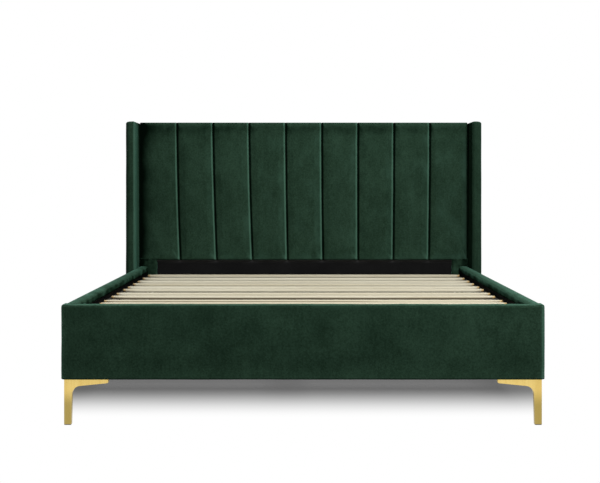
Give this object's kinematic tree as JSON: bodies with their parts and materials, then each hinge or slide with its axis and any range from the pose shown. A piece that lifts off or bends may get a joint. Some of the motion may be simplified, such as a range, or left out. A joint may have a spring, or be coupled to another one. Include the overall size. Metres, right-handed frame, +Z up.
{
  "type": "upholstered bed frame",
  "caption": "Upholstered double bed frame with a vertically channelled headboard between padded wings, padded rails, a slatted base and angled metal corner legs.",
  "frame": {"origin": "on the floor, under the middle of the bed's bounding box", "axes": "+Y towards the headboard, +Z up, +X to the right seen from the foot of the bed"},
  "size_m": [1.712, 2.175, 1.11],
  "materials": {
    "velvet": "short-pile dark green velvet with a soft sheen",
    "lining_cloth": "matt black non-woven lining",
    "webbing": "matt black woven tape",
    "slat_pine": "planed pale pine, unsealed",
    "frame_timber": "sawn softwood",
    "plywood": "raw plywood",
    "satin_brass": "satin brushed brass",
    "black_plastic": "matt moulded black",
    "black_steel": "black powder coat",
    "zinc_steel": "bright zinc plate"
  },
  "bodies": {
    "frame": {"base_linings": "lining_cloth", "beam_hangers": "black_steel", "centre_beam": "frame_timber", "centre_leg": "black_plastic", "channel_pad_1": "velvet", "channel_pad_2": "velvet", "channel_pad_3": "velvet", "channel_pad_4": "velvet", "channel_pad_5": "velvet", "channel_pad_6": "velvet", "channel_pad_7": "velvet", "channel_pad_8": "velvet", "channel_pad_9": "velvet", "corner_brackets": "black_steel", "footboard_board": "frame_timber", "footboard_cover": "velvet", "frame_bolts": "zinc_steel", "headboard_back_cover": "lining_cloth", "headboard_bottom_rail": "frame_timber", "headboard_front_board": "plywood", "headboard_lower_lining": "lining_cloth", "headboard_middle_rail": "frame_timber", "headboard_post_cover_left": "velvet", "headboard_post_cover_right": "velvet", "headboard_stile_left": "frame_timber", "headboard_stile_right": "frame_timber", "headboard_top_rail": "frame_timber", "leg_front_left": "satin_brass", "leg_front_right": "satin_brass", "leg_glides": "black_plastic", "leg_rear_left": "satin_brass", "leg_rear_right": "satin_brass", "rail_board_left": "frame_timber", "rail_board_right": "frame_timber", "rail_cover_left": "velvet", "rail_cover_right": "velvet", "slat_01": "slat_pine", "slat_02": "slat_pine", "slat_03": "slat_pine", "slat_04": "slat_pine", "slat_05": "slat_pine", "slat_06": "slat_pine", "slat_07": "slat_pine", "slat_08": "slat_pine", "slat_09": "slat_pine", "slat_10": "slat_pine", "slat_11": "slat_pine", "slat_12": "slat_pine", "slat_bearer_left": "frame_timber", "slat_bearer_right": "frame_timber", "slat_tapes": "webbing", "wing_board_left": "frame_timber", "wing_board_right": "frame_timber", "wing_cover_left": "velvet", "wing_cover_right": "velvet", "wood_screws": "zinc_steel"},
    "levelling_foot": {"levelling_pad": "black_plastic", "levelling_stem": "zinc_steel"}
  },
  "joints": [
    {"name": "levelling_foot_screw", "type": "slide", "parent": "frame", "child": "levelling_foot", "axis": [0, 0, -1], "range_m": [0, 0.015]}
  ]
}
